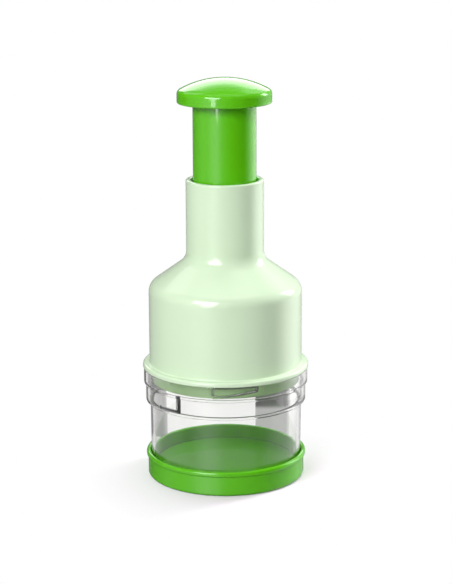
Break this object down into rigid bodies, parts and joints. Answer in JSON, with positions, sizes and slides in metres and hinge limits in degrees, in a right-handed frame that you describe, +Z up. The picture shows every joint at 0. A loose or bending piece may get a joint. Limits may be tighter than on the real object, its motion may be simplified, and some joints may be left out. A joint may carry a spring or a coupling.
{
  "type": "plunger food chopper",
  "caption": "Hand-pressed food chopper: domed knob on a sprung shaft, bell housing with bayonet skirt, clear tiered cup, zigzag blade turned by a twisted spindle, wiper plate and base tray.",
  "frame": {"origin": "centre of the tray's foot, on the surface it stands on", "axes": "+Z up along the plunger, front towards -Y where the bayonet lug shows"},
  "size_m": [0.094, 0.094, 0.2272],
  "materials": {
    "bright_green": "glossy moulded plastic",
    "mint": "glossy moulded plastic",
    "clear": "clear polished plastic",
    "white_acetal": "satin moulded plastic",
    "blade_steel": "fine brushed stainless",
    "plain_steel": "drawn and turned stainless"
  },
  "bodies": {
    "tray": {"base_tray": "bright_green"},
    "cup": {"chopping_cup": "clear"},
    "housing": {"bell_housing": "mint", "neck_bush": "white_acetal", "spring_bridge": "white_acetal", "bridge_screws": "plain_steel", "ratchet_nut": "white_acetal", "ratchet_spring": "plain_steel", "spring_seat": "plain_steel", "return_spring": "plain_steel", "wiper_ring": "plain_steel"},
    "plunger": {"plunger_tube": "bright_green", "press_knob": "bright_green", "knob_screws": "plain_steel"},
    "blades": {"spindle": "plain_steel", "spindle_washer": "plain_steel", "spindle_circlip": "plain_steel", "thrust_washer": "white_acetal", "carrier_hub": "plain_steel", "blade_carrier": "white_acetal", "carrier_screws": "plain_steel", "spindle_screw": "plain_steel", "zigzag_blade": "blade_steel"},
    "wiper": {"wiper_plate": "white_acetal"}
  },
  "joints": [
    {"name": "cup_lift", "type": "slide", "parent": "tray", "child": "cup", "axis": [0, 0, 1], "range_m": [0, 0.04]},
    {"name": "housing_twist", "type": "hinge", "parent": "cup", "child": "housing", "pos_m": [0, 0, 0.0636], "axis": [0, 0, 1], "range_deg": [0, 42]},
    {"name": "plunger_press", "type": "slide", "parent": "housing", "child": "plunger", "axis": [0, 0, -1], "range_m": [0, 0.0485], "stiffness_N_per_m": 450, "springref_m": -0.03, "deforming": ["return_spring"]},
    {"name": "blade_turn", "type": "hinge", "parent": "plunger", "child": "blades", "pos_m": [0, 0, 0.1137], "axis": [0, 0, 1], "range_deg": [0, 36.01]},
    {"name": "wiper_turn", "type": "hinge", "parent": "housing", "child": "wiper", "pos_m": [0, 0, 0.0589], "axis": [0, 0, 1], "range_deg": [0, 36.01]}
  ],
  "couplings": [
    {"joint": "blade_turn", "follows": "plunger_press", "rad_per_m": 12.955},
    {"joint": "wiper_turn", "follows": "plunger_press", "rad_per_m": 12.955}
  ]
}
